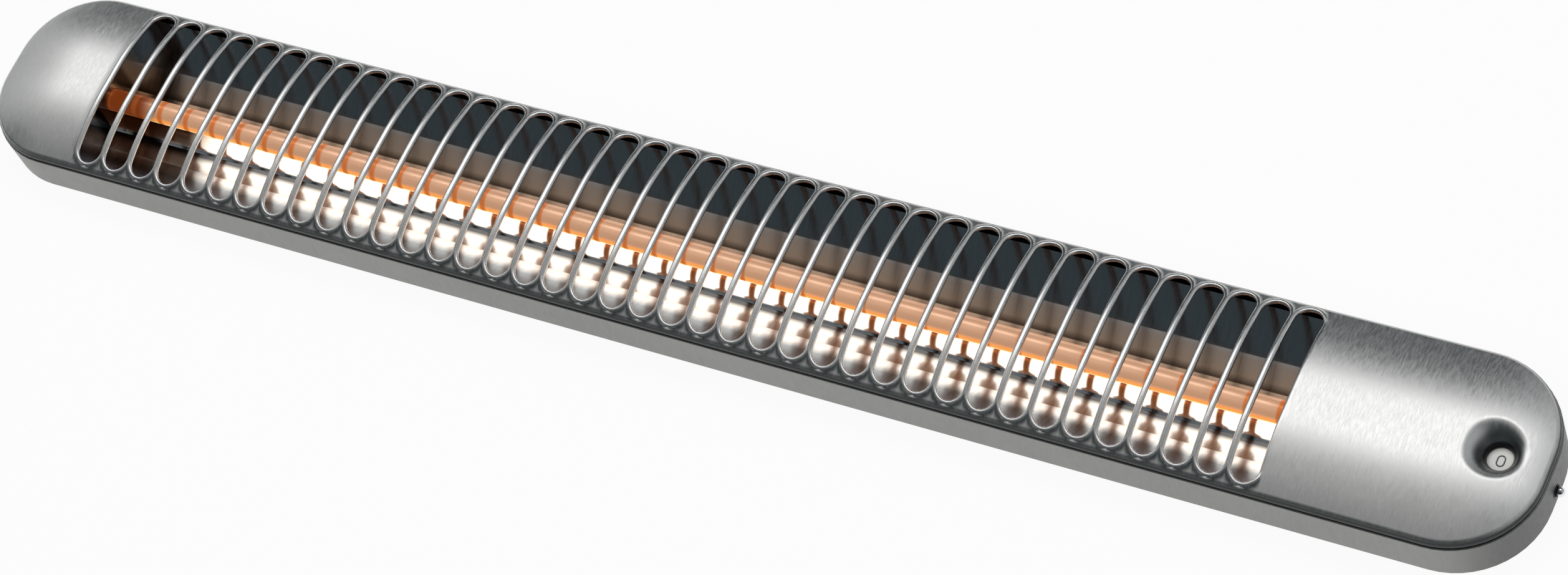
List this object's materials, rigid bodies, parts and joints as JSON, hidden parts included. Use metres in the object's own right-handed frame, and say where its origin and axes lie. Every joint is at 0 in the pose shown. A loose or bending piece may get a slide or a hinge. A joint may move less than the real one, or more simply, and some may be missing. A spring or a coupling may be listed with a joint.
{
  "type": "electric bar heater",
  "caption": "Slim wall-mounted infrared bar heater: slotted domed metal cover over a reflector trough and one quartz tube, with a pull switch and an indicator window.",
  "frame": {"origin": "on the wall face, under the middle of the whole length with the pull ball", "axes": "+X along the case towards the pull ball, +Y across the case, +Z out of the wall"},
  "size_m": [0.7235, 0.086, 0.0304],
  "materials": {
    "satin_aluminium": "satin, finely brushed",
    "mirror_aluminium": "bright polished",
    "shield_board": "matt mineral board",
    "zinc_steel": "zinc plated",
    "tinted_quartz": "orange tinted, polished",
    "hot_element": "wound wire, glowing",
    "white_ceramic": "matt fired",
    "brown_phenolic": "moulded",
    "cream_plastic": "moulded",
    "contact_brass": "plain",
    "black_rubber": "matt",
    "brown_sleeve": "sleeved wire",
    "black_sleeve": "sleeved wire",
    "white_sleeve": "glass-fibre sleeve",
    "blue_sleeve": "sleeved wire",
    "green_sleeve": "sleeved wire",
    "ball_chrome": "polished",
    "black_plastic": "moulded",
    "spring_steel": "plain",
    "blue_plastic": "moulded",
    "white_plastic": "moulded",
    "grey_ink": "printed"
  },
  "bodies": {
    "case": {"front_cover": "satin_aluminium", "rear_tray": "satin_aluminium", "reflector": "mirror_aluminium", "reflector_end_left": "mirror_aluminium", "reflector_end_right": "mirror_aluminium", "heat_shield": "shield_board", "reflector_brackets": "zinc_steel", "quartz_tube": "tinted_quartz", "heating_coil": "hot_element", "tube_cap_left": "white_ceramic", "tube_cap_right": "white_ceramic", "cap_clips": "zinc_steel", "panel_screws": "zinc_steel", "thermal_cutout": "brown_phenolic", "cutout_screws": "zinc_steel", "terminal_block": "cream_plastic", "terminal_inserts": "contact_brass", "terminal_screws": "zinc_steel", "cable_grommet": "black_rubber", "earth_screw": "contact_brass", "live_wire": "brown_sleeve", "switched_wire": "black_sleeve", "tube_wire": "white_sleeve", "return_wire": "blue_sleeve", "earth_wire": "green_sleeve", "wire_clips": "cream_plastic", "switch_base": "cream_plastic", "switch_lid": "cream_plastic", "switch_screws": "zinc_steel", "pull_bush": "black_plastic", "return_spring": "spring_steel", "contact_blades": "contact_brass", "cover_clips": "spring_steel", "cover_screws": "zinc_steel", "cover_nuts": "zinc_steel"},
    "pull": {"pull_rod": "zinc_steel", "pull_ball": "ball_chrome"},
    "drive": {"drive_pinion": "blue_plastic"},
    "indicator": {"ratchet_wheel": "cream_plastic", "contact_cam": "cream_plastic", "switch_shaft": "zinc_steel", "indicator_disc": "white_plastic", "disc_numerals": "grey_ink"}
  },
  "joints": [
    {"name": "pull_slide", "type": "slide", "parent": "case", "child": "pull", "axis": [1, 0, 0], "range_m": [0, 0.00837], "stiffness_N_per_m": 150, "deforming": ["return_spring"]},
    {"name": "pinion_turn", "type": "hinge", "parent": "case", "child": "drive", "pos_m": [0.32375, 0, 0.0065], "axis": [0, 0, 1], "range_deg": [0, 60]},
    {"name": "indicator_turn", "type": "hinge", "parent": "case", "child": "indicator", "pos_m": [0.32375, 0, 0.0065], "axis": [0, 0, 1], "continuous": true}
  ],
  "couplings": [
    {"joint": "pinion_turn", "follows": "pull_slide", "rad_per_m": 125}
  ]
}
